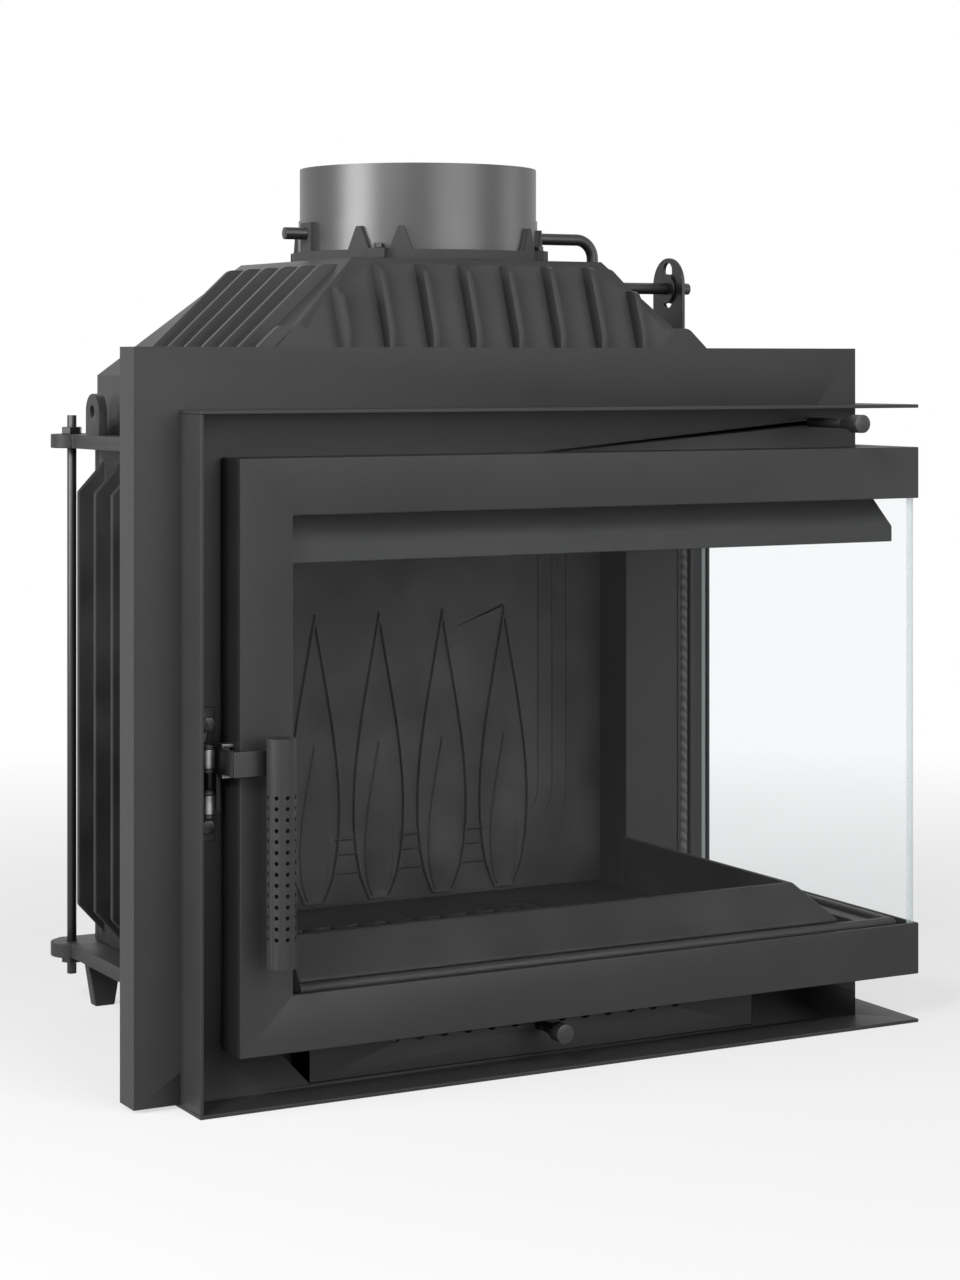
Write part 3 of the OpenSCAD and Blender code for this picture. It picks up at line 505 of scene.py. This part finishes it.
class INSERT_OT_surround(bpy.types.Operator):
    """Finish the folded surround, its shelf, trim, lip and front panel"""

    bl_idname = "insert.surround"
    bl_label = "Surround and trim"

    def execute(self, context):
        edge = context.scene.insert_sheet.edge
        dress(["surround", "shelf_plate", "left_trim", "hearth_lip", "front_panel"], sheet_paint(), edge)
        return {"FINISHED"}


class INSERT_OT_body(bpy.types.Operator):
    """Finish the base, walls, post, top, feet and tie rods of the cast body"""

    bl_idname = "insert.body"
    bl_label = "Cast body"

    def execute(self, context):
        edge = context.scene.insert_casting.edge
        dress(["base_casting", "feet", "right_post", "top_casting"], casting_paint(), edge)
        looks = context.scene.insert_casting
        dress(["left_wall", "rear_wall"],
              material("wall_iron", soot_iron, looks.colour, looks.roughness, looks.grain, looks.depth,
                       WALL_SHINE),
              edge)
        dress(["tie_rods", "tie_nuts"], fitting_black(), context.scene.insert_fitting.edge)
        return {"FINISHED"}


class INSERT_OT_hood(bpy.types.Operator):
    """Finish the ribbed smoke hood and the flue collar"""

    bl_idname = "insert.hood"
    bl_label = "Smoke hood and collar"

    def execute(self, context):
        edge = context.scene.insert_casting.edge
        dress(["smoke_hood"], casting_paint(), edge)
        dress(["flue_collar"], collar_paint(), 0)
        dress(["collar_bolts"], fitting_black(), context.scene.insert_fitting.edge)
        return {"FINISHED"}


class INSERT_OT_damper(bpy.types.Operator):
    """Finish the damper, its crank, slotted strap and pull rod"""

    bl_idname = "insert.damper"
    bl_label = "Damper gear"

    def execute(self, context):
        edge = context.scene.insert_fitting.edge
        dress(["damper_plate"], casting_paint(), edge)
        dress(["damper_crank", "damper_washer", "damper_nut", "damper_strap", "damper_rod",
               "damper_knob"], fitting_black(), edge)
        return {"FINISHED"}


class INSERT_OT_air(bpy.types.Operator):
    """Finish the air control behind the front panel"""

    bl_idname = "insert.air"
    bl_label = "Air control"

    def execute(self, context):
        edge = context.scene.insert_fitting.edge
        dress(["air_rod", "air_knob", "air_shutter"], fitting_black(), edge)
        return {"FINISHED"}


class INSERT_OT_firebox(bpy.types.Operator):
    """Finish the fireback, fire bed, grate, fences, visor and the board under the flue"""

    bl_idname = "insert.firebox"
    bl_label = "Firebox"

    def execute(self, context):
        looks = context.scene.insert_casting
        # Painted light: a lighter copy of the iron for the fireback.
        lighter = [c * FIREBACK_PAINTED_LIGHT for c in looks.colour]
        # Painted shade: a darker copy of the iron for the bed and grate.
        darker = [c * BED_PAINTED_SHADE for c in looks.colour]
        pale = material("fireback_iron", soot_iron, lighter, looks.roughness,
                        looks.grain, looks.depth, SOOT_SHINE)
        dark = material("bed_iron", soot_iron, darker, looks.roughness,
                        looks.grain, looks.depth, SOOT_SHINE)
        iron = material("fence_iron", soot_iron, looks.colour, looks.roughness, looks.grain,
                        looks.depth, SOOT_SHINE)
        dress(["fireback"], pale, looks.edge)
        dress(["bed_plate", "grate"], dark, looks.edge)
        dress(["front_fence", "side_fence"], iron, looks.edge)
        dress(["sill_bar", "visor", "ash_pan"], sheet_paint(), context.scene.insert_sheet.edge)
        dress(["throat_baffle"], material("fire_board", fire_board), looks.edge)
        return {"FINISHED"}


def line_along(name, points, half, face):
    """A low ridge on the fireback along points of X and Z, half as high as it is wide."""
    shape = bmesh.new()
    rows = []
    for index, (x, z) in enumerate(points):
        before, after = points[max(index - 1, 0)], points[min(index + 1, len(points) - 1)]
        run = Vector((after[0] - before[0], after[1] - before[1])).normalized()
        side = Vector((-run.y, run.x)) * half
        rows.append([shape.verts.new((x + side.x, face, z + side.y)), shape.verts.new((x, face - half, z)),
                     shape.verts.new((x - side.x, face, z - side.y))])
    for low, high in zip(rows, rows[1:]):
        for first in range(3):
            second = (first + 1) % 3
            shape.faces.new((low[first], low[second], high[second], high[first]))
    shape.faces.new(rows[0][::-1])
    shape.faces.new(rows[-1])
    bmesh.ops.recalc_face_normals(shape, faces=shape.faces)
    mesh = bpy.data.meshes.new(name)
    shape.to_mesh(mesh)
    shape.free()
    piece = bpy.data.objects.new(name, mesh)
    bpy.context.scene.collection.objects.link(piece)
    return piece


FIREBACK_FACE = 0.320
RAIL_PLACES = [0.212, 0.227, 0.242]
RAIL_TOP = 0.435
RAIL_CENTRE = (0.1805, 0.164)
RAIL_END = 0.197
BAR_HEIGHTS = [0.101, 0.118, 0.131]
BAR_PLACES = [-0.113, -0.049, 0.015, 0.079, 0.143]
BAR_HALF = 0.011
BAR_THICK = 0.002
RAIL_THICK = 0.001
BEND_STEPS = 10


class INSERT_OT_relief(bpy.types.Operator):
    """Draw the fine lines of the fireback: three rails that bend to the last flame, and short bars"""

    bl_idname = "insert.relief"
    bl_label = "Fireback lines"

    def execute(self, context):
        iron = bpy.data.materials["fireback_iron"]
        lines = []
        for x in RAIL_PLACES:
            reach = x - RAIL_CENTRE[0]
            last = math.acos((RAIL_END - RAIL_CENTRE[0]) / reach)
            turns = [last * step / BEND_STEPS for step in range(BEND_STEPS + 1)]
            bend = [(RAIL_CENTRE[0] + reach * math.cos(turn), RAIL_CENTRE[1] - reach * math.sin(turn))
                    for turn in turns]
            lines.append((RAIL_THICK, [(x, RAIL_TOP)] + bend))
        for x in BAR_PLACES:
            for z in BAR_HEIGHTS:
                lines.append((BAR_THICK, [(x - BAR_HALF, z), (x + BAR_HALF, z)]))
        for index, (thick, points) in enumerate(lines):
            line = line_along(f"fireback_line_{index}", points, thick, FIREBACK_FACE)
            line.data.materials.append(iron)
            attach(line, body_of("fireback"))
        return {"FINISHED"}


class INSERT_OT_door(bpy.types.Operator):
    """Finish the door's frame, panes, seal, clips and hinges"""

    bl_idname = "insert.door"
    bl_label = "Door"

    def execute(self, context):
        panes = context.scene.insert_glass
        edge = context.scene.insert_sheet.edge
        dress(["door_frame"], sheet_paint(), edge)
        dress(["glass_clips", "hinge_ears", "door_knuckles"], fitting_black(),
              context.scene.insert_fitting.edge)
        dress(["hinge_pins"], steel_bare(), context.scene.insert_fitting.edge)
        clear = material("clear_pane", ceramic_glass, panes.tint)
        ground = material("glass_edge", glass_edge, panes.edge_tint)
        for node in ["front_glass", "side_glass"]:
            pane = clean_copy(node, node + "_dressed")
            stand_for(pane, node, clear)
            pane.data.materials.append(ground)
            faces = pane.data.polygons
            largest = max(face.area for face in faces)
            for face in faces:
                face.material_index = 0 if face.area > largest / 2 else 1
        rope = material("rope_weave", rope_weave, panes.rope, panes.twist)
        dress(["door_seal"], rope, 0)
        return {"FINISHED"}


class INSERT_OT_latch(bpy.types.Operator):
    """Finish the latch plate, its rollers, pins and bolts"""

    bl_idname = "insert.latch"
    bl_label = "Latch"

    def execute(self, context):
        edge = context.scene.insert_fitting.edge
        dress(["latch_plate", "latch_bolts"], fitting_black(), edge)
        dress(["latch_pins", "upper_roller", "lower_roller"], steel_bare(), edge)
        return {"FINISHED"}


class INSERT_OT_handle(bpy.types.Operator):
    """Finish the perforated handle, its arm, lever and pivot"""

    bl_idname = "insert.handle"
    bl_label = "Handle"

    def execute(self, context):
        edge = context.scene.insert_fitting.edge
        dress(["handle_lever", "handle_arm", "handle_caps"], fitting_black(), edge)
        dress(["handle_grip"], sheet_paint(), edge / 2)
        dress(["handle_pivot"], steel_bare(), edge)
        return {"FINISHED"}


def lamp(name, place, target, size, power):
    """A soft square lamp that looks at a point."""
    light = bpy.data.lights.new(name, "AREA")
    light.shape = "SQUARE"
    light.size = size
    light.energy = power
    holder = bpy.data.objects.new(name, light)
    holder.location = place
    holder.rotation_euler = (Vector(target) - Vector(place)).to_track_quat("-Z", "Y").to_euler()
    bpy.context.scene.collection.objects.link(holder)


def seen(finish):
    """1 for rays that show the background: from the camera, in gloss and through glass."""
    path = "ShaderNodeLightPath"
    camera = finish.node(path, out="Is Camera Ray")
    gloss = finish.node(path, out="Is Glossy Ray")
    through = finish.node(path, out="Is Transmission Ray")
    return finish.maths_max(finish.maths_max(camera, gloss), through)


FLOOR_SIZE = 16.0
FADE_FROM = 0.7
FADE_TO = 1.9
NEAR_SHARE = 0.62
# Painted shadow under the body: centre, half widths and the start of the fade of an ellipse on the floor.
PAINTED_SHADOW_AT, PAINTED_SHADOW_HALF, PAINTED_SHADOW_FADE = (0.03, 0.19), (0.27, 0.19), 0.85
KEY_AT, KEY_SIZE = (-2.1, -1.6, 1.9), 0.7
LEFT_AT, LEFT_SIZE = (-2.5, 0.0, 0.95), 1.3
FRONT_AT, FRONT_SIZE = (0.5, -2.7, 1.5), 2.4
FILL_AT, FILL_SIZE = (2.7, -0.8, 1.0), 1.2
RIM_AT, RIM_SIZE = (0.6, 2.6, 2.1), 1.6
CAMERA_AT = (-1.0999, -1.9762, 0.556)
CAMERA_TURN = math.radians(-28.574)
CAMERA_RISE = -0.2166
SENSOR = 36
FAR = 50


class INSERT_OT_stage(bpy.types.Operator):
    """Set the floor, the lamps, the pale background and the camera"""

    bl_idname = "insert.stage"
    bl_label = "Stage"

    def execute(self, context):
        scene = context.scene
        settings = scene.insert_stage
        scene.view_settings.view_transform = "Standard"
        self.floor(settings)
        self.sky(scene, settings)
        low, high = CAD_BOX
        middle = (Vector(low) + Vector(high)) / 2
        lamp("key", KEY_AT, middle, KEY_SIZE, settings.key)
        lamp("left", LEFT_AT, middle, LEFT_SIZE, settings.left)
        lamp("front", FRONT_AT, middle, FRONT_SIZE, settings.front)
        lamp("fill", FILL_AT, middle, FILL_SIZE, settings.fill)
        lamp("rim", RIM_AT, middle, RIM_SIZE, settings.rim)
        camera = bpy.data.cameras.new("camera")
        camera.sensor_width = SENSOR
        camera.lens = settings.lens
        camera.shift_y = CAMERA_RISE
        camera.clip_end = FAR
        holder = bpy.data.objects.new("camera", camera)
        holder.location = CAMERA_AT
        holder.rotation_euler = (math.radians(90), 0, CAMERA_TURN)
        scene.collection.objects.link(holder)
        scene.camera = holder
        return {"FINISHED"}

    def floor(self, settings):
        mesh = bpy.data.meshes.new("floor")
        half = FLOOR_SIZE / 2
        mesh.from_pydata([(-half, -half, 0), (half, -half, 0), (half, half, 0), (-half, half, 0)], [],
                         [(0, 1, 2, 3)])
        floor = bpy.data.objects.new("floor", mesh)
        bpy.context.scene.collection.objects.link(floor)
        finish = Finish("studio_floor")
        place = finish.place()
        reach = finish.node("ShaderNodeVectorMath", {"operation": "LENGTH"}, {0: place}, out="Value")
        plain = finish.node("ShaderNodeBsdfDiffuse", {}, {"Color": (*settings.floor, 1)})
        white = finish.node("ShaderNodeEmission", {}, {"Color": (1, 1, 1, 1), "Strength": 1.0})
        share = NEAR_SHARE + reach.clamped(FADE_FROM, FADE_TO) * (1 - NEAR_SHARE)
        # Painted shadow: in an ellipse under the body the floor loses its white glow, so it stays dark where
        # it shows through the air slots. From behind, its edge shows as a dark patch.
        shadow_ellipse_place = finish.node("ShaderNodeVectorMath", {"operation": "MULTIPLY_ADD"}, {
            0: place, 1: (1 / PAINTED_SHADOW_HALF[0], 1 / PAINTED_SHADOW_HALF[1], 0),
            2: (-PAINTED_SHADOW_AT[0] / PAINTED_SHADOW_HALF[0], -PAINTED_SHADOW_AT[1] / PAINTED_SHADOW_HALF[1], 0)})
        outside_painted_shadow = finish.node("ShaderNodeVectorMath", {"operation": "LENGTH"}, {0: shadow_ellipse_place}, out="Value")
        share = share * outside_painted_shadow.clamped(PAINTED_SHADOW_FADE, 1)
        finish.end(finish.mix_shaders(seen(finish) * share, plain, white))
        mesh.materials.append(finish.material)

    def sky(self, scene, settings):
        world = bpy.data.worlds.new("studio")
        world.use_nodes = True
        scene.world = world
        finish = Finish("studio", world.node_tree)
        level = settings.sky + seen(finish) * (1 - settings.sky)
        finish.end_world(finish.node("ShaderNodeBackground", {}, {"Color": (1, 1, 1, 1),
                                                                  "Strength": level}))


class INSERT_PT_panel(bpy.types.Panel):
    """The steps that dress the insert"""

    bl_idname = "INSERT_PT_panel"
    bl_label = "Fireplace insert"
    bl_space_type = "VIEW_3D"
    bl_region_type = "UI"
    bl_category = "Insert"

    def draw(self, context):
        for group in GROUPS:
            for name in group[1].__annotations__:
                self.layout.prop(getattr(context.scene, group[0]), name)
        for step in STEPS:
            self.layout.operator(step.bl_idname)


GROUPS = [("insert_casting", CastingFinish), ("insert_sheet", SheetFinish),
          ("insert_fitting", FittingFinish), ("insert_glass", GlassFinish),
          ("insert_stage", StageSettings)]
STEPS = [INSERT_OT_surround, INSERT_OT_body, INSERT_OT_hood, INSERT_OT_damper, INSERT_OT_air,
         INSERT_OT_firebox, INSERT_OT_relief, INSERT_OT_door, INSERT_OT_latch, INSERT_OT_handle,
         INSERT_OT_stage]


def register():
    for name, group in GROUPS:
        bpy.utils.register_class(group)
        setattr(bpy.types.Scene, name, PointerProperty(type=group))
    for step in STEPS:
        bpy.utils.register_class(step)
    bpy.utils.register_class(INSERT_PT_panel)


def unregister():
    bpy.utils.unregister_class(INSERT_PT_panel)
    for step in reversed(STEPS):
        bpy.utils.unregister_class(step)
    for name, group in reversed(GROUPS):
        delattr(bpy.types.Scene, name)
        bpy.utils.unregister_class(group)


def main():
    register()
    bpy.ops.insert.surround()
    bpy.ops.insert.body()
    bpy.ops.insert.hood()
    bpy.ops.insert.damper()
    bpy.ops.insert.air()
    bpy.ops.insert.firebox()
    bpy.ops.insert.relief()
    bpy.ops.insert.door()
    bpy.ops.insert.latch()
    bpy.ops.insert.handle()
    bpy.ops.insert.stage()


if __name__ == "__main__":
    main()
